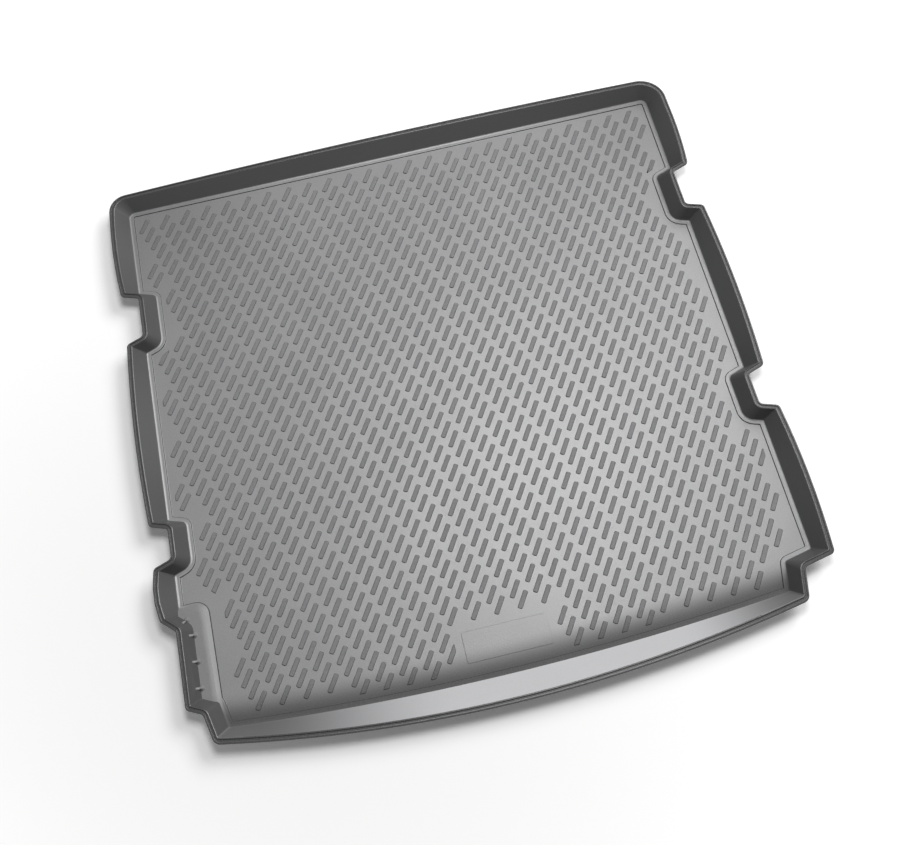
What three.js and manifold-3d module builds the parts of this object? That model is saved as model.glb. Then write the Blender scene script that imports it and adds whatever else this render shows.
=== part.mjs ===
// Car boot liner: one moulded tray with a treaded floor, a sloped wall and a grooved lip.
// Millimetres, +Z up, +Y towards the seats, origin under the middle of the tray.

import * as THREE from 'three';
import { mergeGeometries, mergeVertices } from 'three/addons/utils/BufferGeometryUtils.js';
import Module from 'manifold-3d';

const wasm = await Module();
wasm.setup();

// Floor, measured on the line where the wall stands on it. Its width is the back edge's; from
// there each side runs outwards by the splay on its way to the front. The skew is how far the
// right end of the back edge sits forward of its left end.
const floorLength = 1002;
const floorWidth = 1028;
const sideSplay = 12.8;
const backEdgeSkew = 6;
const frontCornerInset = 11;
const frontEdgeBow = 22;
const floorThickness = 2.5;

// Wall: it leans outwards from the floor to the lip
const wallHeight = 28;
const wallThickness = 2.6;
const sideFlare = 28;
const notchEndFlare = 21;
const frontFlare = 26;
const frontRimBow = 48;
const backFlare = 27;
const backRimBow = 8;

// Lip: an inner bead and an outer edge with a groove between them
const lipWidth = 9;
const beadWidth = 2.4;
const grooveDepth = 1.2;
const grooveSlope = 0.6;
const edgeWidth = 3;
const edgeRound = 1.4;
const lipDrop = 3.6;

// Ledge round the floor at the foot of the wall
const ledgeWidth = 7;
const ledgeHeight = 1.6;
const ledgeSlope = 1.2;

// Corner radii at the foot of the wall and at the outer edge of the lip
const plainCorner = { foot: 4, rim: 9, segments: 2 };
const backCorner = { foot: 12, rim: 34, segments: 4 };
const frontCorner = { foot: 5, rim: 14, segments: 3 };
const notchBackCorner = { foot: 10, rim: 7, segments: 2 };
const notchFrontCorner = { foot: 22, rim: 8, segments: 3 };
const innerStepCorner = { foot: 5, rim: 9, segments: 2 };
const roundStepCorner = { foot: 20, rim: 9, segments: 3 };
const smallestRadius = 1.2;
const bowPoints = 9;

// Notches in the side walls: start is the distance from the back edge of the floor
const notchDepth = 31;
const notchSlant = 10.5;
const leftNotches = [
  { start: 178, length: 126 },
  { start: 632, length: 100 },
];
const rightNotches = [
  { start: 171, length: 119 },
  { start: 601, length: 104 },
];

// Steps that narrow the tray towards its front corners; the flare is that of the step and of the
// wall that follows it
const leftSteps = [
  { start: 803, depth: 21.5, run: 20, flare: 26, innerCorner: roundStepCorner },
  { start: 946, depth: 24.5, run: 12, flare: 28, innerCorner: innerStepCorner },
];
const rightSteps = [{ start: 942, depth: 48, run: 10, flare: 26, innerCorner: innerStepCorner }];

// Tread: slanted flat-topped bars in rows
const barLength = 43;
const barWidth = 10.8;
const barHeight = 1.3;
const barDraft = 0.8;
const barLean = 32;
const barPitch = 54.6;
const rowPitch = 28;
const rowShift = 11.7;
const treadMargin = 20;
const treadOffset = 6;

// Bare plate in the middle of the front edge
const plateWidth = 145;
const plateLength = 53;
const plateHeight = 0.6;
const plateDraft = 1.5;
const plateMargin = 10;
const plateToFront = 30;

// Raised platform in the left front of the floor, where the ledge widens and swells towards the
// wall, with gussets between it and the wall
const platformHeight = 5;
const platformSwell = 14;
const platformWidth = 28.5;
const platformRadius = 24;
const platformTail = 18;
const gussetCount = 3;
const gussetPitch = 44.5;
const gussetToStep = 15;
const gussetReach = 9;
const gussetHeight = 11;
const gussetThickness = 4.5;

// How far a raised shape reaches down into the body that carries it
const sink = 0.8;

const linerColour = 0x77777b;

/** Half of the floor's width at a distance from its back edge. */
function halfWidth(distance) {
  return floorWidth / 2 + (sideSplay * distance) / floorLength;
}

/** A corner of the outline, with side -1 on the left and 1 on the right. */
function corner(side, reach, distance, radii) {
  return { point: new THREE.Vector2(side * reach, -distance), radii };
}

/** The four corners of a notch, from back to front. */
function notchCorners(side, { start, length }) {
  const end = start + length;
  return [
    corner(side, halfWidth(start), start, plainCorner),
    corner(side, halfWidth(start) - notchDepth, start + notchSlant, notchBackCorner),
    corner(side, halfWidth(end) - notchDepth, end - notchSlant, notchFrontCorner),
    corner(side, halfWidth(end), end, plainCorner),
  ];
}

/** Corners and sides down one side of the tray, from its back corner to its front corner. */
function sideOutline(side, notches, steps) {
  const corners = [corner(side, halfWidth(0), side > 0 ? backEdgeSkew : 0, backCorner)];
  const sides = [{ flare: sideFlare }];
  for (const notch of notches) {
    corners.push(...notchCorners(side, notch));
    sides.push({ flare: notchEndFlare }, { flare: sideFlare });
    sides.push({ flare: notchEndFlare }, { flare: sideFlare });
  }
  let taken = 0;
  for (const { start, depth, run, flare, innerCorner } of steps) {
    corners.push(corner(side, halfWidth(start) - taken, start, plainCorner));
    taken += depth;
    corners.push(corner(side, halfWidth(start) - taken, start + run, innerCorner));
    sides.push({ flare }, { flare });
  }
  const frontReach = halfWidth(floorLength) - taken - frontCornerInset;
  corners.push(corner(side, frontReach, floorLength, frontCorner));
  return { corners, sides };
}

const left = sideOutline(-1, leftNotches, leftSteps);
const right = sideOutline(1, rightNotches, rightSteps);
const frontSide = { flare: frontFlare, footBow: frontEdgeBow, rimBow: frontRimBow };
const backSide = { flare: backFlare, footBow: 0, rimBow: backRimBow };
const corners = [...left.corners, ...right.corners.toReversed()];
const sides = [...left.sides, frontSide, ...right.sides.toReversed(), backSide];

/** The point where two lines meet, each given by a point and a direction. */
function meet(pointA, directionA, pointB, directionB) {
  const across = pointB.clone().sub(pointA);
  return pointA.clone().addScaledVector(directionA, across.cross(directionB) / directionA.cross(directionB));
}

/** Points of a round corner between two directions of travel. */
function cornerArc(point, arriving, leaving, radius, segments) {
  const turn = Math.atan2(arriving.cross(leaving), arriving.dot(leaving));
  const start = point.clone().addScaledVector(arriving, -radius * Math.tan(Math.abs(turn) / 2));
  const inward = new THREE.Vector2(-arriving.y, arriving.x).multiplyScalar(Math.sign(turn) * radius);
  const centre = start.clone().add(inward);
  return Array.from({ length: segments + 1 }, (_, k) => {
    return start.clone().rotateAround(centre, (turn * k) / segments);
  });
}

/** The outline at a share of the wall's lean, 0 at its foot and 1 at its rim, moved out by outset. */
function outlineAt(lean, outset) {
  const lines = sides.map((side, i) => {
    const start = corners[i].point;
    const end = corners[(i + 1) % corners.length].point;
    const along = end.clone().sub(start).normalize();
    const outward = new THREE.Vector2(along.y, -along.x);
    return { along, outward, start: start.clone().addScaledVector(outward, side.flare * lean + outset) };
  });
  const moved = lines.map((line, i) => {
    const before = lines.at(i - 1);
    return meet(before.start, before.along, line.start, line.along);
  });
  const bows = sides.map((side) => THREE.MathUtils.lerp(side.footBow ?? 0, side.rimBow ?? 0, lean));
  const heading = (i, end) => {
    const { along, outward } = lines.at(i);
    const span = moved.at(i).distanceTo(moved.at((i + 1) % moved.length));
    return along.clone().addScaledVector(outward, (end * 4 * bows.at(i)) / span).normalize();
  };
  return moved.flatMap((point, i) => {
    const arriving = heading(i - 1, -1);
    const leaving = heading(i, 1);
    const { foot, rim, segments } = corners[i].radii;
    const outside = Math.sign(arriving.cross(leaving));
    const radius = Math.max(THREE.MathUtils.lerp(foot, rim, lean) + outside * outset, smallestRadius);
    const arc = cornerArc(point, arriving, leaving, radius, segments);
    return sides[i].rimBow ? [...arc, ...bowedPoints(point, moved[(i + 1) % moved.length], bows[i])] : arc;
  });
}

/** Points along a side that bows outwards between two corners. */
function bowedPoints(start, end, bow) {
  const along = end.clone().sub(start).normalize();
  const outward = new THREE.Vector2(along.y, -along.x);
  return Array.from({ length: bowPoints }, (_, k) => {
    const share = (k + 1) / (bowPoints + 1);
    return start.clone().lerp(end, share).addScaledVector(outward, 4 * bow * share * (1 - share));
  });
}

/** A closed body through loops of the same length, each a list of points at one height. */
function loft(loops) {
  const count = loops[0].points.length;
  const positions = loops.flatMap(({ points, z }) => points.flatMap(({ x, y }) => [x, y, z]));
  const triangles = [];
  for (let level = 0; level < loops.length - 1; level += 1) {
    for (let i = 0; i < count; i += 1) {
      const a = level * count + i;
      const b = level * count + ((i + 1) % count);
      triangles.push(a, a + count, b + count, a, b + count, b);
    }
  }
  const last = (loops.length - 1) * count;
  for (const [a, b, c] of THREE.ShapeUtils.triangulateShape(loops[0].points, [])) {
    triangles.push(a, b, c);
  }
  for (const [a, b, c] of THREE.ShapeUtils.triangulateShape(loops.at(-1).points, [])) {
    triangles.push(last + a, last + c, last + b);
  }
  const geometry = new THREE.BufferGeometry();
  geometry.setAttribute('position', new THREE.Float32BufferAttribute(positions, 3));
  geometry.setIndex(triangles);
  return geometry;
}

/** A solid for booleans from a closed geometry. */
function solidOf(geometry) {
  const bare = geometry.clone();
  bare.deleteAttribute('normal');
  bare.deleteAttribute('uv');
  const merged = mergeVertices(bare, 1e-4);
  const vertProperties = new Float32Array(merged.attributes.position.array);
  const triVerts = new Uint32Array(merged.index.array);
  return new wasm.Manifold(new wasm.Mesh({ numProp: 3, vertProperties, triVerts }));
}

/** The geometry of a solid. */
function geometryOf(solid) {
  const { vertProperties, triVerts } = solid.getMesh();
  const geometry = new THREE.BufferGeometry();
  geometry.setAttribute('position', new THREE.BufferAttribute(vertProperties, 3));
  geometry.setIndex(new THREE.BufferAttribute(triVerts, 1));
  return geometry;
}

/** The tray's section from the floor, over ledge, wall and lip, to the underside. */
function trayGeometry() {
  const floorTop = floorThickness;
  const ledgeTop = floorTop + ledgeHeight;
  const rimTop = floorTop + wallHeight;
  return loft([
    { points: outlineAt(0, -ledgeWidth - ledgeSlope), z: floorTop },
    { points: outlineAt(0, -ledgeWidth), z: ledgeTop },
    { points: outlineAt(0, 0), z: ledgeTop },
    { points: outlineAt(1, -lipWidth), z: rimTop },
    { points: outlineAt(1, -lipWidth + beadWidth), z: rimTop },
    { points: outlineAt(1, -lipWidth + beadWidth + grooveSlope), z: rimTop - grooveDepth },
    { points: outlineAt(1, -edgeWidth), z: rimTop },
    { points: outlineAt(1, 0), z: rimTop - edgeRound },
    { points: outlineAt(1, 0), z: rimTop - lipDrop },
    { points: outlineAt(1, -lipWidth + wallThickness), z: rimTop - lipDrop },
    { points: outlineAt(0, wallThickness), z: 0 },
  ]);
}

/** A block with sloped sides, its foot at the origin. */
function taperedBlock(width, length, height, draft) {
  const block = new THREE.BoxGeometry(width, length, height);
  const { position } = block.attributes;
  for (let i = 0; i < position.count; i += 1) {
    if (position.getZ(i) > 0) {
      position.setX(i, position.getX(i) - Math.sign(position.getX(i)) * draft);
      position.setY(i, position.getY(i) - Math.sign(position.getY(i)) * draft);
    }
  }
  return block.translate(0, 0, height / 2);
}

/** True where a point lies inside a closed outline. */
function isInside(point, outline) {
  let inside = false;
  outline.forEach((a, i) => {
    const b = outline.at(i - 1);
    if (a.y > point.y !== b.y > point.y && point.x < a.x + ((b.x - a.x) * (point.y - a.y)) / (b.y - a.y)) {
      inside = !inside;
    }
  });
  return inside;
}

const plateCentre = new THREE.Vector2(0, -floorLength - frontEdgeBow + plateToFront + plateLength / 2);

/** True where a point lies within the plate and its margin. */
function isOnPlate({ x, y }) {
  const nearX = Math.abs(x - plateCentre.x) < plateWidth / 2 + plateMargin;
  return nearX && Math.abs(y - plateCentre.y) < plateLength / 2 + plateMargin;
}

/** The platform's outline from above, drawn inwards by inset on its free sides. */
function platformOutline(inset) {
  const [first, second] = leftSteps;
  const back = -first.start + platformTail - inset;
  const front = -second.start - second.run - platformSwell + inset;
  const outer = -halfWidth(first.start) - wallThickness;
  const inner = -halfWidth(first.start) + first.depth + platformWidth - inset;
  const radius = platformRadius - inset;
  const shape = new THREE.Shape();
  shape.moveTo(outer, back);
  shape.lineTo(outer, front);
  shape.lineTo(inner, front);
  shape.lineTo(inner, back - radius);
  shape.absarc(inner - radius, back - radius, radius, 0, Math.PI / 2);
  return shape.extractPoints(4).shape;
}

/** The platform before the wall trims it: an edge as high as the ledge, then a swelling top. */
function platformGeometry() {
  const shoulder = (ledgeHeight + 2 * platformHeight) / 3;
  return loft([
    { points: platformOutline(platformSwell), z: floorThickness + platformHeight },
    { points: platformOutline((platformSwell + ledgeSlope) / 2), z: floorThickness + shoulder },
    { points: platformOutline(ledgeSlope), z: floorThickness + ledgeHeight },
    { points: platformOutline(0), z: floorThickness - sink },
  ]);
}

/** A gusset that stands on the platform across the foot of the wall, turned to face the floor. */
function gussetGeometry(foot, turn) {
  const profile = new THREE.Shape();
  profile.moveTo(-gussetReach, -sink);
  profile.lineTo(gussetReach, -sink);
  profile.lineTo(-gussetReach, gussetHeight);
  const fin = new THREE.ExtrudeGeometry(profile, { depth: gussetThickness, bevelEnabled: false });
  fin.translate(0, 0, -gussetThickness / 2).rotateX(Math.PI / 2).rotateZ(turn);
  return fin.translate(foot.x, foot.y, floorThickness + platformHeight);
}

/** The gussets: one square to the slanted step and a row along the straight wall beside it. */
function gussetGeometries() {
  const [first, second] = leftSteps;
  const stepMiddleX = first.depth / 2 - halfWidth(first.start);
  const stepMiddle = new THREE.Vector2(stepMiddleX, -first.start - first.run / 2);
  const gussets = [gussetGeometry(stepMiddle, Math.atan2(first.depth, first.run))];
  for (let i = 0; i < gussetCount; i += 1) {
    const distance = second.start - gussetToStep - i * gussetPitch;
    gussets.push(gussetGeometry(new THREE.Vector2(-halfWidth(distance) + first.depth, -distance), 0));
  }
  return gussets;
}

/** Every whole bar of the tread that fits on the floor clear of the ledge, platform and plate. */
function treadGeometry() {
  const field = outlineAt(0, -treadMargin);
  const platform = platformOutline(-treadMargin);
  const lean = THREE.MathUtils.degToRad(barLean);
  const half = new THREE.Vector2(Math.sin(lean), Math.cos(lean)).multiplyScalar(barLength / 2);
  const bar = taperedBlock(barWidth, barLength, sink + barHeight, barDraft).rotateZ(-lean);
  const isFree = (end) => isInside(end, field) && !isInside(end, platform) && !isOnPlate(end);
  const bars = [];
  const rows = Math.ceil(floorLength / rowPitch);
  for (let row = 0; row <= rows; row += 1) {
    const shift = (row * rowShift) % barPitch;
    const columns = Math.ceil((floorWidth / 2 + sideSplay) / barPitch) + 1;
    for (let column = -columns; column <= columns; column += 1) {
      const x = treadOffset + shift + column * barPitch;
      const centre = new THREE.Vector2(x, -treadMargin - row * rowPitch);
      if (isFree(centre.clone().add(half)) && isFree(centre.clone().sub(half))) {
        bars.push(bar.clone().translate(centre.x, centre.y, floorThickness - sink));
      }
    }
  }
  return mergeGeometries(bars);
}

/** The platform with its gussets, trimmed to end inside the wall. */
function platformSolid() {
  const insideWall = loft([
    { points: outlineAt(1, -lipWidth + wallThickness / 2), z: floorThickness + wallHeight },
    { points: outlineAt(0, wallThickness / 2), z: sink },
  ]);
  const gussets = gussetGeometries().map(solidOf);
  const body = gussets.reduce((joined, gusset) => joined.add(gusset), solidOf(platformGeometry()));
  return body.intersect(solidOf(insideWall));
}

/** The hollow that the platform leaves in the underside, one floor thickness below its top. */
function platformHollow() {
  const insideFoot = loft([
    { points: outlineAt(0, 0), z: platformHeight + sink },
    { points: outlineAt(0, 0), z: -floorThickness },
  ]);
  const lowered = platformGeometry().translate(0, 0, -floorThickness);
  return solidOf(lowered).intersect(solidOf(insideFoot));
}

/** The whole liner as one closed body. */
function linerGeometry() {
  const plate = taperedBlock(plateWidth, plateLength, sink + plateHeight, plateDraft);
  plate.translate(plateCentre.x, plateCentre.y, floorThickness - sink);
  const body = solidOf(trayGeometry())
    .add(platformSolid())
    .add(solidOf(plate))
    .add(solidOf(treadGeometry()))
    .subtract(platformHollow());
  const geometry = geometryOf(body);
  geometry.computeBoundingBox();
  const middle = geometry.boundingBox.getCenter(new THREE.Vector3());
  return geometry.translate(-middle.x, -middle.y, 0);
}

const rubber = new THREE.MeshStandardMaterial({ color: linerColour, roughness: 0.55, metalness: 0 });
const liner = new THREE.Mesh(linerGeometry(), rubber);
liner.name = 'boot_liner';

const bootLiner = new THREE.Group();
bootLiner.add(liner);

export default bootLiner;
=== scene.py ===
"""Rubber boot liner, one moulded tray, built in the shared frame of its CAD model.

Lengths are millimetres while a shape is made, and metres once it is placed in the scene. The
outline is drawn with the back edge of the floor at y = 0 and the front towards -y, then moved
to the CAD box.
"""

import logging
import math
from dataclasses import dataclass, field
from enum import Enum
from typing import Iterable, Sequence

import bmesh
import bpy
from bmesh.types import BMEdge, BMesh, BMFace, BMVert
from mathutils import Matrix, Vector


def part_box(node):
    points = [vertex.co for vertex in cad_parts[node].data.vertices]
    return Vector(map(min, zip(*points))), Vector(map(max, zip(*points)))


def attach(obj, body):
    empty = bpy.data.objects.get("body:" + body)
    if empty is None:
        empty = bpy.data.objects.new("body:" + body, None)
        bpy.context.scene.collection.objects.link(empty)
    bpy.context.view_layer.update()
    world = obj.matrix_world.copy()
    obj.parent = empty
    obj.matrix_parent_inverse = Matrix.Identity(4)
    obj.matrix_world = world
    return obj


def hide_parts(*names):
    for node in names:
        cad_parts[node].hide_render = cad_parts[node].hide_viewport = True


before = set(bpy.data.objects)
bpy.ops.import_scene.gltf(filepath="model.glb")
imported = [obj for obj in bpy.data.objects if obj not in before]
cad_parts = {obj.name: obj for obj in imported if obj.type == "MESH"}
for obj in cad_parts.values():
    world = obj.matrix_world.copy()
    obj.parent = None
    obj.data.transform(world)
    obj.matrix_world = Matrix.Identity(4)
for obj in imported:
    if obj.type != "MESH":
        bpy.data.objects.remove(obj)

LOG = logging.getLogger("boot_liner")
METRES = 0.001
# How far the wall leans out on average, which makes a length of a share of its lean.
MEAN_FLARE = 26.0
# A raised block starts a little above the floor, and reaches down into it.
SHELF = 0.04
SUNK = 0.8
# Lengths and cross products below these count as nothing.
LEVEL_TOLERANCE = 1e-3
PARALLEL_TOLERANCE = 1e-9

Ring = list[Vector]
Triple = tuple[float, float, float]
# A point on a side, the side's direction and its outward normal.
Line = tuple[Vector, Vector, Vector]
# The inset of each step up a raised block, and its share of the block's height.
Rises = tuple[tuple[float, float], ...]


class Zone(Enum):
    """The parts of the moulding with finishes of their own, some with painted shade or light."""

    FLOOR = 0
    BAR = 1
    # Painted shade: darker than the floor.
    WALL = 2
    # Painted shade: near-black in the creases.
    CREASE = 3
    # Painted light: paler than the other walls.
    FRONT = 4
    # Painted shade: darker than the walls.
    LIP = 5
    PLATFORM = 6


class Cut(Enum):
    """What one body does to another."""

    JOIN = "UNION"
    TRIM = "INTERSECT"
    HOLLOW = "DIFFERENCE"


@dataclass(frozen=True)
class Radii:
    """Radii of a corner at the foot of the wall and at the outer edge of the lip."""

    foot: float
    rim: float


@dataclass(frozen=True)
class Corner:
    """A corner of the floor's outline."""

    point: Vector
    radii: Radii


@dataclass(frozen=True)
class Side:
    """A side of the outline, with how far it leans out and how far it bows."""

    flare: float
    foot_bow: float = 0.0
    rim_bow: float = 0.0


@dataclass(frozen=True)
class Notch:
    """A notch in a side wall, by its distance from the back edge and its length."""

    start: float
    length: float


@dataclass(frozen=True)
class Step:
    """A step that narrows the tray towards the front."""

    start: float
    depth: float
    run: float
    flare: float
    inner: Radii


@dataclass(frozen=True)
class Level:
    """A level of the wall: its share of the lean, its outset and its height."""

    lean: float
    outset: float
    height: float

    def towards(self, other: "Level", distance: float) -> "Level":
        """The level at a distance from this one on the way to another."""
        across = (other.lean - self.lean) * MEAN_FLARE + other.outset - self.outset
        span = math.hypot(across, other.height - self.height)
        return self.mixed(other, min(distance / span, 1.0))

    def mixed(self, other: "Level", share: float) -> "Level":
        """The level at a share of the way to another."""
        return Level(
            self.lean + (other.lean - self.lean) * share,
            self.outset + (other.outset - self.outset) * share,
            self.height + (other.height - self.height) * share,
        )


@dataclass
class Outline:
    """The outline of the tray, which leans outwards from the floor to the lip.

    Down to an inset of parallel_to the corners run parallel. In deeper outlines, such as the edge
    of the tread, the corners that point into the floor are sharper, by the factor sharpening.
    """

    floor_length: float = 1002.0
    floor_width: float = 1028.0
    side_splay: float = 12.8
    back_skew: float = 6.0
    front_inset: float = 11.0
    notch_depth: float = 31.0
    notch_slant: float = 10.5
    notch_flare: float = 21.0
    side_flare: float = 28.0
    side_bow: float = 6.0
    bow_step: float = 36.0
    arc_segments: int = 8
    support: float = 1.5
    smallest_radius: float = 1.2
    parallel_to: float = 8.2
    sharpening: float = 1.6
    plain: Radii = Radii(4, 9)
    back_left: Radii = Radii(12, 34)
    back_right: Radii = Radii(12, 50)
    front: Radii = Radii(5, 14)
    notch_back: Radii = Radii(10, 7)
    notch_front: Radii = Radii(22, 8)
    inner_step: Radii = Radii(5, 9)
    round_step: Radii = Radii(20, 9)
    front_side: Side = Side(26, 22, 48)
    back_side: Side = Side(27, 0, 8)
    left_notches: tuple[Notch, ...] = (Notch(178, 126), Notch(632, 100))
    right_notches: tuple[Notch, ...] = (Notch(171, 119), Notch(601, 104))
    left_steps: tuple[Step, ...] = (
        Step(start=803, depth=21.5, run=20, flare=26, inner=round_step),
        Step(start=946, depth=24.5, run=12, flare=28, inner=inner_step),
    )
    right_steps: tuple[Step, ...] = (
        Step(start=942, depth=48, run=10, flare=26, inner=inner_step),
    )
    corners: list[Corner] = field(default_factory=list, init=False)
    sides: list[Side] = field(default_factory=list, init=False)

    def __post_init__(self) -> None:
        """Lays out the corners round the tray, from the back left one."""
        left_corners, left_sides = self._flank(
            -1, self.back_left, self.left_notches, self.left_steps
        )
        right_corners, right_sides = self._flank(
            1, self.back_right, self.right_notches, self.right_steps
        )
        self.corners = left_corners + right_corners[::-1]
        self.sides = left_sides + [self.front_side] + right_sides[::-1] + [self.back_side]

    def half_width(self, distance: float) -> float:
        """Half of the floor's width at a distance from its back edge."""
        return self.floor_width / 2 + self.side_splay * distance / self.floor_length

    @staticmethod
    def _corner(side: int, reach: float, distance: float, radii: Radii) -> Corner:
        """A corner on one side, -1 for the left and 1 for the right."""
        return Corner(Vector((side * reach, -distance)), radii)

    def _flank(
        self, side: int, back: Radii, notches: Iterable[Notch], steps: Iterable[Step]
    ) -> tuple[list[Corner], list[Side]]:
        """Lays out one side of the tray.

        Args:
            side: -1 for the left, 1 for the right.
            back: the back corner's radii.
            notches: the notches of that side, from the back.
            steps: the steps of that side, from the back.

        Returns:
            The corners from the back to the front, and the sides between them.
        """
        skew = self.back_skew if side > 0 else 0.0
        corners = [self._corner(side, self.half_width(0), skew, back)]
        bowed = Side(self.side_flare, 0, self.side_bow)
        sides = [bowed]
        for notch in notches:
            start, end = notch.start, notch.start + notch.length
            reach, far = self.half_width(start), self.half_width(end)
            depth, slant = self.notch_depth, self.notch_slant
            corners += [
                self._corner(side, reach, start, self.plain),
                self._corner(side, reach - depth, start + slant, self.notch_back),
                self._corner(side, far - depth, end - slant, self.notch_front),
                self._corner(side, far, end, self.plain),
            ]
            cheek = Side(self.notch_flare)
            sides += [cheek, Side(self.side_flare), cheek, bowed]
        taken = 0.0
        for step in steps:
            reach = self.half_width(step.start)
            corners.append(self._corner(side, reach - taken, step.start, self.plain))
            taken += step.depth
            corners.append(self._corner(side, reach - taken, step.start + step.run, step.inner))
            sides += [Side(step.flare)] * 2
        reach = self.half_width(self.floor_length) - taken - self.front_inset
        corners.append(self._corner(side, reach, self.floor_length, self.front))
        return corners, sides

    def at(self, lean: float, outset: float) -> Ring:
        """Draws the closed outline at a level.

        Args:
            lean: share of the wall's lean, 0 at its foot and 1 at its rim.
            outset: how far the outline is moved outwards.

        Returns:
            Its points, as many at every level.
        """
        count = len(self.corners)
        lines: list[Line] = []
        for index, side in enumerate(self.sides):
            start = self.corners[index].point
            along = (self.corners[(index + 1) % count].point - start).normalized()
            outward = Vector((along.y, -along.x))
            lines.append((start + outward * (side.flare * lean + outset), along, outward))
        moved = [self._meet(lines[index - 1], lines[index]) for index in range(count)]
        bows = [side.foot_bow + (side.rim_bow - side.foot_bow) * lean for side in self.sides]
        arcs: list[Ring] = []
        for index, point in enumerate(moved):
            following = moved[(index + 1) % count]
            arriving = self._heading(lines[index - 1], moved[index - 1], point, -bows[index - 1])
            leaving = self._heading(lines[index], point, following, bows[index])
            radii = self.corners[index].radii
            outside = math.copysign(1, arriving.cross(leaving))
            sharper = self.sharpening * max(-outset - self.parallel_to, 0) * (outside < 0)
            grown = outside * (outset + sharper)
            radius = radii.foot + (radii.rim - radii.foot) * lean + grown
            arcs.append(self._arc(point, arriving, leaving, max(radius, self.smallest_radius)))
        ring: Ring = []
        for index, arc in enumerate(arcs):
            ring += arc
            if self.sides[index].rim_bow:
                after = (index + 1) % count
                ends = (moved[index], moved[after])
                gaps = (arc[-1] - ends[0]).length, (arcs[after][0] - ends[1]).length
                span = (self.corners[after].point - self.corners[index].point).length
                ring += self._bowed(ends, gaps, bows[index], round(span / self.bow_step))
        return ring

    @staticmethod
    def _meet(first: Line, second: Line) -> Vector:
        """The point where two lines meet."""
        (a, along, _), (b, direction, _) = first, second
        return a + along * ((b - a).cross(direction) / along.cross(direction))

    @staticmethod
    def _heading(line: Line, start: Vector, end: Vector, bow: float) -> Vector:
        """The direction at the start of a side with a bow, or at its end with a negative bow."""
        return (line[1] + line[2] * (4 * bow / (end - start).length)).normalized()

    def _arc(self, point: Vector, arriving: Vector, leaving: Vector, radius: float) -> Ring:
        """Rounds a corner.

        Args:
            point: the sharp corner.
            arriving: the direction of travel before it.
            leaving: the direction of travel after it.
            radius: the radius of the arc.

        Returns:
            The arc's points, with one more on the straight before and after it.
        """
        turn = math.atan2(arriving.cross(leaving), arriving.dot(leaving))
        start = point - arriving * (radius * math.tan(abs(turn) / 2))
        inward = Vector((-arriving.y, arriving.x)) * math.copysign(radius, turn)
        centre = start + inward
        arc = [start - arriving * self.support]
        for index in range(self.arc_segments + 1):
            turned = Matrix.Rotation(turn * index / self.arc_segments, 2) @ (start - centre)
            arc.append(centre + turned)
        arc.append(arc[-1] + leaving * self.support)
        return arc

    @staticmethod
    def _bowed(
        ends: tuple[Vector, Vector], gaps: tuple[float, float], bow: float, count: int
    ) -> Ring:
        """Draws a side that bows outwards as a parabola.

        Args:
            ends: the sharp corners at its ends.
            gaps: how much of each end the arc of its corner takes.
            bow: how far its middle moves out.
            count: the number of points.

        Returns:
            Points between the two arcs.
        """
        start, end = ends
        span = (end - start).length
        along = (end - start).normalized()
        outward = Vector((along.y, -along.x))
        first, last = gaps[0] / span, 1 - gaps[1] / span
        points = []
        for index in range(count):
            share = first + (last - first) * (index + 1) / (count + 1)
            points.append(start.lerp(end, share) + outward * (4 * bow * share * (1 - share)))
        return points


@dataclass(frozen=True)
class Bend:
    """A bend of the wall's section and the length that rounds it."""

    level: Level
    rounding: float


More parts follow.
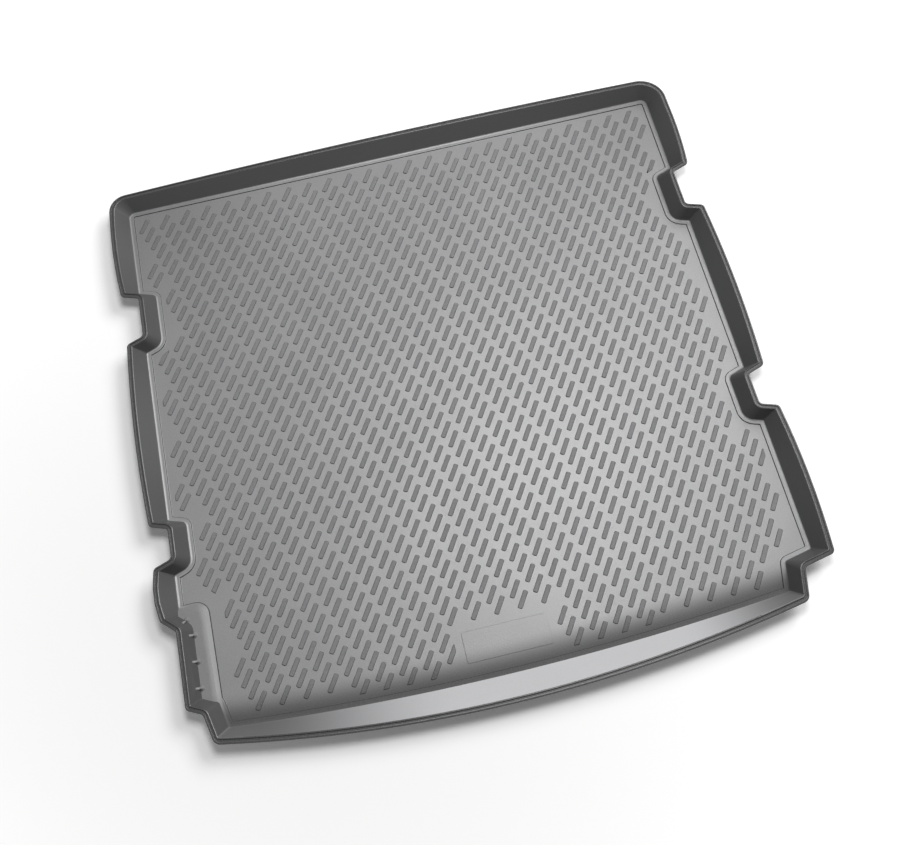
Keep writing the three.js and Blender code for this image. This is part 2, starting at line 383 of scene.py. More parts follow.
@dataclass(frozen=True)
class Section:
    """The section of the tray from the floor, over ledge, wall and lip, to the underside.

    A rounding over supported_from has a level at the distance support before and after it, which
    keeps the flats beside it flat.
    """

    floor: float = 2.5
    wall: float = 28.0
    wall_thickness: float = 2.6
    lip_width: float = 9.0
    bead_width: float = 2.0
    groove_depth: float = 1.7
    groove_slope: float = 0.6
    edge_width: float = 3.0
    edge_slope: float = 0.3
    lip_drop: float = 3.6
    ledge_width: float = 7.0
    ledge_height: float = 1.6
    ledge_slope: float = 1.2
    margin_width: float = 12.0
    ledge_rounding: float = 0.5
    foot_rounding: float = 2.6
    bead_rounding: float = 1.1
    bead_edge: float = 0.5
    groove_rounding: float = 0.3
    edge_inner: float = 0.4
    edge_rounding: float = 1.5
    lip_edge: float = 0.5
    under_rounding: float = 0.8
    round_steps: int = 3
    support: float = 0.4
    supported_from: float = 1.0

    @property
    def ledge(self) -> float:
        """Height of the ledge's top."""
        return self.floor + self.ledge_height

    @property
    def rim(self) -> float:
        """Height of the lip's top."""
        return self.floor + self.wall

    def bends(self) -> list[Bend]:
        """Lists the bends.

        Returns:
            The bends in order, from the floor to the underside.
        """
        shore = -self.ledge_width - self.ledge_slope
        bead = -self.lip_width + self.bead_width
        groove, under = self.rim - self.groove_depth, self.rim - self.lip_drop
        return [
            Bend(Level(0, shore - self.margin_width, self.floor), 0),
            Bend(Level(0, shore, self.floor), self.ledge_rounding),
            Bend(Level(0, -self.ledge_width, self.ledge), self.ledge_rounding),
            Bend(Level(0, 0, self.ledge), self.foot_rounding),
            Bend(Level(1, -self.lip_width, self.rim), self.bead_rounding),
            Bend(Level(1, bead, self.rim), self.bead_edge),
            Bend(Level(1, bead + self.groove_slope, groove), self.groove_rounding),
            Bend(Level(1, -self.edge_width - self.edge_slope, groove), self.groove_rounding),
            Bend(Level(1, -self.edge_width, self.rim), self.edge_inner),
            Bend(Level(1, 0, self.rim), self.edge_rounding),
            Bend(Level(1, 0, under), self.lip_edge),
            Bend(Level(1, -self.lip_width + self.wall_thickness, under), self.under_rounding),
            Bend(Level(0, self.wall_thickness, 0), self.under_rounding),
            Bend(Level(0, -self.ledge_width, 0), 0),
        ]

    def levels(self) -> list[Level]:
        """Rounds the bends.

        Returns:
            The levels of the rounded section, from the floor to the underside.
        """
        bends = self.bends()
        levels = [bends[0].level]
        for before, bend, after in zip(bends, bends[1:], bends[2:]):
            start = bend.level.towards(before.level, bend.rounding)
            end = bend.level.towards(after.level, bend.rounding)
            supported = bend.rounding > self.supported_from
            if supported:
                levels.append(start.towards(before.level, self.support))
            for index in range(self.round_steps + 1):
                share = index / self.round_steps
                arriving, leaving = start.mixed(bend.level, share), bend.level.mixed(end, share)
                levels.append(arriving.mixed(leaving, share))
            if supported:
                levels.append(end.towards(after.level, self.support))
        return levels + [bends[-1].level]


def inside(point: Vector, ring: Ring) -> bool:
    """Counts the sides of a ring that a line from a point crosses.

    Args:
        point: the point.
        ring: the corners of the closed ring.

    Returns:
        True where the point lies inside the ring.
    """
    within = False
    for a, b in zip(ring, ring[1:] + ring[:1]):
        if (a.y > point.y) != (b.y > point.y):
            if point.x < a.x + (b.x - a.x) * (point.y - a.y) / (b.y - a.y):
                within = not within
    return within


def raised(ring: Ring, height: float) -> Ring:
    """A flat ring at a height."""
    return [Vector((point.x, point.y, height)) for point in ring]


def new_ring(bm: BMesh, points: Sequence[Vector]) -> list[BMVert]:
    """Adds a closed ring of edges.

    Args:
        bm: the mesh.
        points: the points of the ring.

    Returns:
        The ring's vertices in order.
    """
    verts = bmesh.ops.create_circle(bm, segments=len(points), radius=1)["verts"]
    for vert, point in zip(verts, points):
        vert.co = point
    return verts


def ring_edges(verts: Sequence[BMVert]) -> list[BMEdge]:
    """The edges from each vertex of a ring to the next."""
    pairs = zip(verts, [*verts[1:], verts[0]])
    return [next(e for e in a.link_edges if e.other_vert(a) == b) for a, b in pairs]


def extruded(bm: BMesh, verts: list[BMVert], points: Sequence[Vector]) -> list[BMVert]:
    """Extrudes a ring.

    Args:
        bm: the mesh that holds the ring.
        verts: the ring's vertices in order.
        points: where the new ring's vertices go.

    Returns:
        The vertices of the new ring in the same order.
    """
    made = bmesh.ops.extrude_edge_only(bm, edges=ring_edges(verts))
    fresh = {item for item in made["geom"] if isinstance(item, BMVert)}
    ring = [next(e.other_vert(v) for e in v.link_edges if e.other_vert(v) in fresh) for v in verts]
    for vert, point in zip(ring, points):
        vert.co = point
    return ring


def close_ring(bm: BMesh, verts: Sequence[BMVert]) -> None:
    """Fills a ring with flat triangles."""
    bmesh.ops.triangle_fill(bm, edges=ring_edges(verts), use_beauty=True)


def swept(rings: Sequence[Ring]) -> BMesh:
    """Makes a closed body through rings.

    Args:
        rings: rings with as many points each, from one end to the other.

    Returns:
        The body's mesh.
    """
    bm = bmesh.new()
    verts = new_ring(bm, rings[0])
    close_ring(bm, verts)
    for points in rings[1:]:
        verts = extruded(bm, verts, points)
    close_ring(bm, verts)
    bmesh.ops.recalc_face_normals(bm, faces=bm.faces)
    return bm


def flat_bar(bm: BMesh, width: float, length: float, corner: float, segments: int) -> list[BMVert]:
    """Adds a flat oblong face with rounded corners to an empty mesh.

    Args:
        bm: the mesh.
        width: its size along x.
        length: its size along y.
        corner: the radius of its corners.
        segments: the sides of each rounded corner.

    Returns:
        The vertices of the face.
    """
    verts = bmesh.ops.create_grid(bm, x_segments=1, y_segments=1, size=0.5)["verts"]
    bmesh.ops.scale(bm, vec=(width, length, 1), verts=verts)
    bmesh.ops.bevel(
        bm, geom=verts, offset=corner, offset_type="OFFSET", segments=segments,
        profile=0.5, affect="VERTICES", material=-1,
    )
    return list(bm.verts)


def raised_blocks(bm: BMesh, rises: Rises, height: float) -> set[BMFace]:
    """Turns flat faces into closed blocks, sunk a little and raised by insets.

    Args:
        bm: the mesh, with nothing but flat faces at the height of the floor.
        rises: inset and share of the height of each step up.
        height: the height of the blocks.

    Returns:
        The faces of the first step.
    """
    faces = list(bm.faces)
    for face in faces:
        if face.normal.z < 0:
            face.normal_flip()
    bmesh.ops.translate(bm, vec=(0, 0, SHELF), verts=bm.verts)
    bmesh.ops.solidify(bm, geom=faces, thickness=SUNK)
    bmesh.ops.recalc_face_normals(bm, faces=bm.faces)
    level = max(vert.co.z for vert in bm.verts) - LEVEL_TOLERANCE
    upward = [face for face in bm.faces if face.normal.z > 0.5]
    tops = [face for face in upward if face.calc_center_median().z > level]
    steps = [
        bmesh.ops.inset_individual(
            bm, faces=tops, thickness=inset, depth=share * height, use_even_offset=True
        )["faces"]
        for inset, share in rises
    ]
    return set(steps[0])


@dataclass
class Tread:
    """Rows of slanted flat-topped bars, cut off where their field ends.

    The bars are shallower in the back corners: they keep the share shallow of their height out to
    shallow_reach from the corner, and have all of it shallow_fade further.
    """

    length: float = 32.5
    width: float = 8.4
    height: float = 1.25
    corner: float = 2.1
    corner_segments: int = 2
    lean: float = 32.2
    pitch: float = 40.0
    row_pitch: float = 20.4
    row_shift: float = 8.6
    first_row: float = 13.6
    first_shift: float = 22.5
    smallest_area: float = 205.0
    smallest_breadth: float = 2.3
    shortest_edge: float = 0.9
    shallow: float = 0.4
    shallow_reach: float = 90.0
    shallow_fade: float = 230.0
    rises: Rises = ((0.5, 0.2), (0.35, 0.68), (0.45, 0.12))

    def _half_bar(self) -> Vector:
        """The way from a bar's middle to its upper end."""
        lean = math.radians(self.lean)
        return Vector((math.sin(lean), math.cos(lean))) * (self.length / 2)

    def lay(self, bm: BMesh, height: float, field_ring: Ring, kept_out: list[Ring]) -> None:
        """Lays the flat outlines of the bars in an empty mesh.

        Args:
            bm: the mesh.
            height: height of the floor.
            field_ring: the field that the bars fill.
            kept_out: zones inside the field without bars.
        """
        bar = flat_bar(bm, self.width, self.length, self.corner, self.corner_segments)
        turn = Matrix.Rotation(-math.radians(self.lean), 3, "Z")
        bmesh.ops.rotate(bm, cent=(0, 0, 0), matrix=turn, verts=bar)
        reach = max(abs(point.x) for point in field_ring)
        columns = math.ceil(reach / self.pitch) + 1
        first = list(bm.faces)
        row = list(first)
        for column in range(-columns, columns + 1):
            if column:
                row += self._copied(bm, first, Vector((column * self.pitch, 0, 0)))
        rows = math.ceil(-min(point.y for point in field_ring) / self.row_pitch)
        centres: dict[BMFace, Vector] = {}
        for index in range(rows):
            shift = (self.first_shift + index * self.row_shift) % self.pitch
            place = Vector((shift, -self.first_row - index * self.row_pitch, height))
            for face in self._copied(bm, row, place):
                centres[face] = face.calc_center_median().to_2d()
        bmesh.ops.delete(bm, geom=row, context="FACES")
        self._trim(bm, centres, [field_ring, *kept_out])

    @staticmethod
    def _copied(bm: BMesh, faces: list[BMFace], offset: Vector) -> list[BMFace]:
        """A moved copy of some faces."""
        made = bmesh.ops.duplicate(bm, geom=faces)["geom"]
        bmesh.ops.translate(bm, vec=offset, verts=[v for v in made if isinstance(v, BMVert)])
        return [face for face in made if isinstance(face, BMFace)]

    def _trim(self, bm: BMesh, centres: dict[BMFace, Vector], rings: list[Ring]) -> None:
        """Cuts the bars off along the rings and drops what lies outside.

        Args:
            bm: the mesh.
            centres: the middle of each whole bar.
            rings: the field, then the zones without bars.
        """
        half = self._half_bar()
        lost: list[BMFace] = []
        for face, centre in centres.items():
            ends = (centre - half, centre + half)
            free = [self._free(end, rings) for end in ends]
            if not any(free):
                lost.append(face)
                continue
            cuts = self._cuts(*ends, rings)
            if not cuts:
                continue
            at_first = cuts[0][0] >= 0.5 if all(free) else free[0]
            _, start, normal = cuts[0 if at_first else -1]
            made = bmesh.ops.bisect_plane(
                bm, geom=[face, *face.edges, *face.verts],
                plane_co=start.to_3d(), plane_no=normal.to_3d(), clear_outer=True,
            )
            left = [item for item in made["geom"] if isinstance(item, BMFace) and item.is_valid]
            lost += [piece for piece in left if not self._sound(piece)]
        bmesh.ops.delete(bm, geom=lost, context="FACES")
        bmesh.ops.remove_doubles(bm, verts=bm.verts, dist=self.shortest_edge)

    def _sound(self, face: BMFace) -> bool:
        """True for a piece of a bar that is neither too small nor too slender."""
        area = face.calc_area()
        return area > self.smallest_area and area / face.calc_perimeter() > self.smallest_breadth

    @staticmethod
    def _free(point: Vector, rings: list[Ring]) -> bool:
        """True inside the field and outside the zones without bars."""
        return inside(point, rings[0]) and not any(inside(point, ring) for ring in rings[1:])

    @staticmethod
    def _cuts(a: Vector, b: Vector, rings: list[Ring]) -> list[tuple[float, Vector, Vector]]:
        """Finds where a bar's middle line crosses the rings.

        Args:
            a: one end of the middle line.
            b: its other end.
            rings: the field, then the zones without bars.

        Returns:
            Share of the line, point on the ring and normal out of the field, in order.
        """
        cuts = []
        for number, ring in enumerate(rings):
            for start, end in zip(ring, ring[1:] + ring[:1]):
                side, line = end - start, b - a
                across = line.cross(side)
                if abs(across) < PARALLEL_TOLERANCE:
                    continue
                share = (start - a).cross(side) / across
                along = (start - a).cross(line) / across
                if 0 <= share <= 1 and 0 <= along <= 1:
                    normal = Vector((side.y, -side.x)).normalized()
                    cuts.append((share, start, normal if number == 0 else -normal))
        return sorted(cuts, key=lambda cut: cut[0])

    def _kept(self, point: Vector, field_ring: Ring) -> float:
        """Works out how much of its height a bar keeps.

        Args:
            point: a point of the bar.
            field_ring: the field that the bars fill.

        Returns:
            A share of the height.
        """
        back = max(corner.y for corner in field_ring)
        reach = max(corner.x for corner in field_ring)
        away = min((point.to_2d() - Vector((side * reach, back))).length for side in (-1, 1))
        share = min(max((away - self.shallow_reach) / self.shallow_fade, 0), 1)
        return self.shallow + (1 - self.shallow) * share * share * (3 - 2 * share)

    def bodies(self, floor: float, field_ring: Ring, kept_out: list[Ring]) -> BMesh:
        """Makes the bars as closed blocks with sloped and rounded sides.

        Args:
            floor: height of the floor.
            field_ring: the field that the bars fill.
            kept_out: zones inside the field without bars.

        Returns:
            A mesh of the bars.
        """
        bm = bmesh.new()
        self.lay(bm, floor, field_ring, kept_out)
        LOG.info("tread: %d bars", len(bm.faces))
        feet = raised_blocks(bm, self.rises, self.height)
        for vert in bm.verts:
            if vert.co.z > floor + SHELF:
                vert.co.z = floor + (vert.co.z - floor) * self._kept(vert.co, field_ring)
        # Each bar's first step up takes the painted crease shade, a dark outline round its foot.
        for face in bm.faces:
            face.material_index = (Zone.CREASE if face in feet else Zone.BAR).value
        return bm


@dataclass
class Platform:
    """Raised platform in the left front of the floor, with gussets up the wall beside it.

    Its edge rises from a small toe to a brow at the height of the ledge, and its top swells from
    there. The body of each part sinks a little into the one that carries it.
    """

    outline: Outline
    section: Section
    height: float = 5.0
    swell: float = 17.0
    swell_steps: int = 8
    width: float = 28.5
    radius: float = 24.0
    arc_degrees: int = 10
    tail: float = 18.0
    toe: float = 0.2
    brow: float = 0.3
    brow_drop: float = 0.4
    brow_share: float = 0.7
    crease_shade_depth: float = 0.2
    gusset_count: int = 3
    gusset_pitch: float = 44.5
    gusset_to_step: float = 15.0
    gusset_reach: float = 10.0
    gusset_toe: float = 3.0
    gusset_toe_height: float = 0.1
    gusset_height: float = 11.0
    gusset_thickness: float = 4.0
    gusset_rounding: float = 0.9
    gusset_segments: int = 3
    root_radius: float = 5.5
    root_tip: float = 1.2
    root_height: float = 6.5
    root_setback: float = 0.8
    root_segments: int = 20
    sink: float = 0.8
    trim_depth: float = 10.0

    def ring(self, inset: float) -> Ring:
        """Draws the platform's outline from above.

        Args:
            inset: how far its free sides are drawn in.

        Returns:
            Its points.
        """
        first, second = self.outline.left_steps
        half = self.outline.half_width(first.start)
        back = -first.start + self.tail - inset
        front = -second.start - second.run - self.swell + inset
        outer = -half - self.section.wall_thickness
        inner = -half + first.depth + self.width - inset
        radius = self.radius - inset
        centre = Vector((inner - radius, back - radius))
        arc = [
            centre + Vector((math.cos(turn), math.sin(turn))) * radius
            for turn in (math.radians(angle) for angle in range(0, 91, self.arc_degrees))
        ]
        return [Vector((outer, back)), Vector((outer, front)), Vector((inner, front)), *arc]

    def body(self) -> BMesh:
        """Makes the platform before the wall trims it.

        Returns:
            A mesh with a low edge in painted crease shade and a swelling top.
        """
        floor, ledge, slope = self.section.floor, self.section.ledge, self.section.ledge_slope
        rings = [
            raised(self.ring(0), floor - self.sink),
            raised(self.ring(self.toe), floor + self.toe),
            raised(self.ring(slope * self.brow_share), ledge - self.brow_drop),
            raised(self.ring(slope + self.brow), ledge),
        ]
        climb = floor + self.height - ledge
        for index in range(1, self.swell_steps + 1):
            share = index / self.swell_steps
            inset = slope + self.brow + (self.swell - slope) * share
            rings.append(raised(self.ring(inset), ledge + climb * math.sin(share * math.pi / 2)))
        bm = swept(rings)
        # Faces below the brow take the painted crease shade.
        for face in bm.faces:
            low = face.calc_center_median().z < ledge - self.crease_shade_depth
            face.material_index = (Zone.CREASE if low else Zone.PLATFORM).value
        return bm

    def gussets(self) -> list[BMesh]:
        """Makes the gussets: one square to the slanted step, then a row along the straight wall.

        Returns:
            A fin and a spread root for each.
        """
        first, second = self.outline.left_steps
        half = self.outline.half_width
        middle = Vector((first.depth / 2 - half(first.start), -first.start - first.run / 2))
        feet = [(middle, math.atan2(first.depth, first.run))]
        for index in range(self.gusset_count):
            distance = second.start - self.gusset_to_step - index * self.gusset_pitch
            feet.append((Vector((first.depth - half(distance), -distance)), 0.0))
        return [self._turned(make(), *foot) for foot in feet for make in (self._fin, self._root)]

    def _fin(self) -> BMesh:
        """Makes a fin across the foot of the wall, which slopes down towards the floor.

        Returns:
            Its mesh, with the foot of the wall at the origin and the floor towards x.
        """
        bm = bmesh.new()
        bmesh.ops.create_cube(bm, size=1)
        for vert in bm.verts:
            inner, low = vert.co.x > 0, vert.co.z < 0
            top = self.gusset_toe_height if inner else self.gusset_height
            vert.co.x = self.gusset_toe if inner else -self.gusset_reach
            vert.co.y *= self.gusset_thickness
            vert.co.z = -self.sink if low else top
        edges = [edge for edge in bm.edges if max(vert.co.z for vert in edge.verts) > 0]
        bmesh.ops.bevel(
            bm, geom=edges, offset=self.gusset_rounding, offset_type="OFFSET",
            segments=self.gusset_segments, profile=0.5, affect="EDGES", material=-1,
        )
        return bm

    def _root(self) -> BMesh:
        """Makes the spread root of a gusset in the corner between wall and platform.

        Returns:
            Its mesh, with the foot of the wall at the origin.
        """
        bm = bmesh.new()
        bmesh.ops.create_cone(
            bm, cap_ends=True, segments=self.root_segments, radius1=self.root_radius,
            radius2=self.root_tip, depth=self.root_height,
        )
        lift = Vector((-self.root_setback, 0, self.root_height / 2 - self.sink))
        bmesh.ops.translate(bm, vec=lift, verts=bm.verts)
        return bm

    def _turned(self, bm: BMesh, foot: Vector, turn: float) -> BMesh:
        """Stands a body on the platform.

        Args:
            bm: the body's mesh.
            foot: where it stands.
            turn: its turn round the vertical.

        Returns:
            The same mesh.
        """
        bmesh.ops.rotate(bm, cent=(0, 0, 0), matrix=Matrix.Rotation(turn, 3, "Z"), verts=bm.verts)
        place = Vector((foot.x, foot.y, self.section.floor + self.height))
        bmesh.ops.translate(bm, vec=place, verts=bm.verts)
        return bm

    def envelope(self) -> BMesh:
        """The space that ends within the wall, which trims the platform and its gussets."""
        skin = self.section.wall_thickness / 2
        top = raised(self.outline.at(1, skin - self.section.lip_width), self.section.rim)
        return swept([raised(self.outline.at(0, skin), self.sink), top])

    def hollow(self) -> BMesh:
        """The hollow of the underside, one floor thickness below the platform's top."""
        bm = self.body()
        bmesh.ops.translate(bm, vec=(0, 0, -self.section.floor), verts=bm.verts)
        return bm

    def foot(self) -> BMesh:
        """The space inside the foot of the wall, which trims the hollow."""
        ring = self.outline.at(0, 0)
        return swept([raised(ring, -self.trim_depth), raised(ring, self.height + self.sink)])


@dataclass
class Plate:
    """The bare plate in the middle of the front edge."""

    outline: Outline
    width: float = 145.0
    length: float = 53.0
    height: float = 0.5
    corner: float = 3.0
    corner_segments: int = 4
    to_front: float = 30.0
    margin_side: float = 14.0
    margin_top: float = 11.0
    rises: Rises = ((0.35, 0.3), (0.4, 0.6), (0.4, 0.1))

    def middle(self) -> Vector:
        """The middle of the plate."""
        front = self.outline.floor_length + self.outline.front_side.foot_bow
        return Vector((0, -front + self.to_front + self.length / 2))

    def clear_zone(self) -> Ring:
        """Draws the zone round the plate that has no bars.

        Returns:
            Its corners. It opens to the front.
        """
        middle = self.middle()
        side = self.width / 2 + self.margin_side
        top, low = middle.y + self.length / 2 + self.margin_top, middle.y - self.length
        return [Vector(point) for point in ((-side, top), (-side, low), (side, low), (side, top))]

    def body(self, floor: float) -> BMesh:
        """Makes the plate as a closed block with a soft edge.

        Args:
            floor: height of the floor.

        Returns:
            Its mesh.
        """
        bm = bmesh.new()
        verts = flat_bar(bm, self.width, self.length, self.corner, self.corner_segments)
        bmesh.ops.translate(bm, vec=self.middle().to_3d() + Vector((0, 0, floor)), verts=verts)
        raised_blocks(bm, self.rises, self.height)
        return bm


@dataclass
class Tray:
    """The plain tray, with ledge, wall and lip, and the field of its tread.

    A face belongs to a zone by its height and by how far its normal turns up or back.
    """

    outline: Outline
    section: Section
    margin: float = 17.0
    platform_margin: float = 24.0
    floor_to: float = 1.0
    level_up: float = 0.85
    slope_up: float = 0.3
    facing_back: float = 0.4
    lip_depth: float = 2.5

    def body(self) -> BMesh:
        """Makes the plain tray.

        Returns:
            One closed mesh.
        """
        rings = [
            raised(self.outline.at(level.lean, level.outset), level.height)
            for level in self.section.levels()
        ]
        bm = swept(rings)
        for face in bm.faces:
            face.material_index = self._zone(face).value
        return bm

    def _zone(self, face: BMFace) -> Zone:
        """Tells the zone of a face.

        Args:
            face: a face of the tray.

        Returns:
            Its zone.
        """
        middle, normal = face.calc_center_median(), face.normal
        upward = normal.z > self.slope_up
        if middle.z < self.section.ledge + self.floor_to and normal.z > self.level_up:
            return Zone.FLOOR
        # The ledge's slope takes the painted crease shade, a dark line along the wall's foot.
        if middle.z < self.section.ledge and upward:
            return Zone.CREASE
        # The front wall takes the paler finish with painted light.
        if middle.y < -self.outline.floor_length and normal.y > self.facing_back and upward:
            return Zone.FRONT
        return Zone.LIP if middle.z > self.section.rim - self.lip_depth else Zone.WALL

    def tread(self, tread: Tread, plate: Plate, platform: Platform) -> BMesh:
        """The bars that fill the floor round the plate and the platform."""
        zones = [platform.ring(-self.platform_margin), plate.clear_zone()]
        return tread.bodies(self.section.floor, self.outline.at(0, -self.margin), zones)


def math_node(
    tree: bpy.types.NodeTree, operation: str, *values: float | bpy.types.NodeSocket
) -> bpy.types.NodeSocket:
    """Adds a math node.

    Args:
        tree: the node tree.
        operation: the node's operation.
        values: a number or a socket for each input.

    Returns:
        The node's output.
    """
    node = tree.nodes.new("ShaderNodeMath")
    node.operation = operation
    for index, value in enumerate(values):
        if isinstance(value, (int, float)):
            node.inputs[index].default_value = value
        else:
            tree.links.new(value, node.inputs[index])
    return node.outputs[0]


def fade_node(
    tree: bpy.types.NodeTree,
    value: bpy.types.NodeSocket,
    start: float,
    end: float,
    least: float = 0.0,
) -> bpy.types.NodeSocket:
    """Adds a smooth fade.

    Args:
        tree: the node tree.
        value: the socket that drives it.
        start: the value where it starts.
        end: the value where it is 1.
        least: what it gives before its start.

    Returns:
        The fade, from least to 1.
    """
    fade = tree.nodes.new("ShaderNodeMapRange")
    fade.interpolation_type = "SMOOTHSTEP"
    fade.inputs["From Min"].default_value = start
    fade.inputs["From Max"].default_value = end
    fade.inputs["To Min"].default_value = least
    tree.links.new(value, fade.inputs["Value"])
    return fade.outputs["Result"]


class RubberSurface:
    """The node group for rubber's mottling, grain and waves, and its painted shade and light.

    Its masks lie on the liner in metres: a band along the bowed front of the floor and the back
    corners, made rougher and painted darker as shade, and a stretch of the front wall with
    painted light.
    """

    INPUTS = (
        "Tone", "Roughness", "Grain Scale", "Grain Height", "Mottle", "Ripple", "Shade", "Glint",
    )
    FRONT_BOW = 0.119
    FRONT_BAND = (-0.445, -0.497)
    BACK_CORNER = (0.52, 0.5)
    BACK_FADE = (0.38, 0.04)
    BACK_SHARE = 0.42
    # Where the front wall's painted light fades in from the left and out to the right.
    LIGHT_FROM_LEFT = (-0.42, -0.08)
    LIGHT_FROM_RIGHT = (0.48, 0.27)
    BROAD_NOISE = (9.0, 3.0)
    BROAD_SHARE = 0.4
    FINE_NOISE = (420.0, 2.0)
    FINE_SHARE = 0.6
    WAVE_NOISE = (5.0, 1.0)
    GRAIN_DETAIL = 3.0
    # How much darker the mask paints the tone: painted shade.
    DARKENING = 0.8
    DULLING = 0.45
    GLOSS_CHANGE = 0.08
    TINT = {"Red": 1.0, "Green": 1.0, "Blue": 1.02}

    def __init__(self) -> None:
        """Makes the group with its sockets and nodes."""
        self.tree = bpy.data.node_groups.new("Rubber Surface", "ShaderNodeTree")
        interface = self.tree.interface
        interface.new_socket("Position", in_out="INPUT", socket_type="NodeSocketVector")
        for name in self.INPUTS:
            interface.new_socket(name, in_out="INPUT", socket_type="NodeSocketFloat")
        interface.new_socket("Color", in_out="OUTPUT", socket_type="NodeSocketColor")
        interface.new_socket("Roughness", in_out="OUTPUT", socket_type="NodeSocketFloat")
        interface.new_socket("Height", in_out="OUTPUT", socket_type="NodeSocketFloat")
        self.sockets = self.tree.nodes.new("NodeGroupInput").outputs
        self.exit = self.tree.nodes.new("NodeGroupOutput")
        self._build()

    def _math(
        self, operation: str, *values: float | bpy.types.NodeSocket
    ) -> bpy.types.NodeSocket:
        """A math node of the group."""
        return math_node(self.tree, operation, *values)

    def _noise(self, scale: float | bpy.types.NodeSocket, detail: float) -> bpy.types.NodeSocket:
        """Adds a noise on the object's coordinates.

        Args:
            scale: its scale, as a number or a socket.
            detail: its detail.

        Returns:
            The noise, from about -1 to 1.
        """
        noise = self.tree.nodes.new("ShaderNodeTexNoise")
        noise.inputs["Detail"].default_value = detail
        if isinstance(scale, float):
            noise.inputs["Scale"].default_value = scale
        else:
            self.tree.links.new(scale, noise.inputs["Scale"])
        self.tree.links.new(self.sockets["Position"], noise.inputs["Vector"])
        return self._math("MULTIPLY_ADD", noise.outputs["Fac"], 2.0, -1.0)

    def _shade_and_rough_mask(
        self, across: bpy.types.NodeSocket, along: bpy.types.NodeSocket
    ) -> bpy.types.NodeSocket:
        """Masks the front band and back corners, made rougher and painted darker as shade.

        Args:
            across: the place from left to right.
            along: the place from front to back.

        Returns:
            The mask, from 0 to 1.
        """
        bowed = self._math("MULTIPLY", across, across)
        depth = self._math("MULTIPLY_ADD", bowed, -self.FRONT_BOW, along)
        front = fade_node(self.tree, depth, *self.FRONT_BAND)
        sideways = self._math("SUBTRACT", self._math("ABSOLUTE", across), self.BACK_CORNER[0])
        back = self._math("SUBTRACT", along, self.BACK_CORNER[1])
        squared = self._math("MULTIPLY_ADD", back, back, self._math("MULTIPLY", sideways, sideways))
        corner = fade_node(self.tree, self._math("SQRT", squared), *self.BACK_FADE)
        return self._math("MAXIMUM", front, self._math("MULTIPLY", corner, self.BACK_SHARE))

    def _painted_light_mask(self, across: bpy.types.NodeSocket) -> bpy.types.NodeSocket:
        """The mask of the front wall's painted light, by the place from left to right."""
        left = fade_node(self.tree, across, *self.LIGHT_FROM_LEFT)
        return self._math("MULTIPLY", left, fade_node(self.tree, across, *self.LIGHT_FROM_RIGHT))

    def _mottling(self) -> bpy.types.NodeSocket:
        """A broad and a fine noise together, from about -1 to 1."""
        broad = self._math("MULTIPLY", self._noise(*self.BROAD_NOISE), self.BROAD_SHARE)
        return self._math("MULTIPLY_ADD", self._noise(*self.FINE_NOISE), self.FINE_SHARE, broad)

    def _height(self) -> bpy.types.NodeSocket:
        """Adds the grain and the slow waves.

        Returns:
            Their height in metres.
        """
        grain = self._noise(self.sockets["Grain Scale"], self.GRAIN_DETAIL)
        waves = self._math("MULTIPLY", self._noise(*self.WAVE_NOISE), self.sockets["Ripple"])
        return self._math("MULTIPLY_ADD", grain, self.sockets["Grain Height"], waves)

    def _build(self) -> None:
        """Joins the noises and the masks to the outputs."""
        place = self.tree.nodes.new("ShaderNodeSeparateXYZ")
        self.tree.links.new(self.sockets["Position"], place.inputs[0])
        across, along = place.outputs["X"], place.outputs["Y"]
        # The front band and back corners: painted shade in the tone, and a rougher finish.
        shade = self._math("MULTIPLY", self._shade_and_rough_mask(across, along), self.sockets["Shade"])
        mottling = self._mottling()
        change = self._math("MULTIPLY_ADD", mottling, self.sockets["Mottle"], 1.0)
        kept = self._math("MULTIPLY_ADD", shade, -self.DARKENING, change)
        # Painted light: the finish's glint lifts the tone along the front wall's middle stretch.
        painted_light_mask = self._painted_light_mask(across)
        lifted = self._math("MULTIPLY_ADD", painted_light_mask, self.sockets["Glint"], self.sockets["Tone"])
        tone = self._math("MULTIPLY", lifted, kept)
        colour = self.tree.nodes.new("ShaderNodeCombineColor")
        for name, share in self.TINT.items():
            self.tree.links.new(self._math("MULTIPLY", tone, share), colour.inputs[name])
        dulled = self._math("MULTIPLY_ADD", shade, self.DULLING, self.sockets["Roughness"])
        gloss = self._math("MULTIPLY_ADD", mottling, self.GLOSS_CHANGE, dulled)
        self.tree.links.new(colour.outputs["Color"], self.exit.inputs["Color"])
        self.tree.links.new(gloss, self.exit.inputs["Roughness"])
        self.tree.links.new(self._height(), self.exit.inputs["Height"])


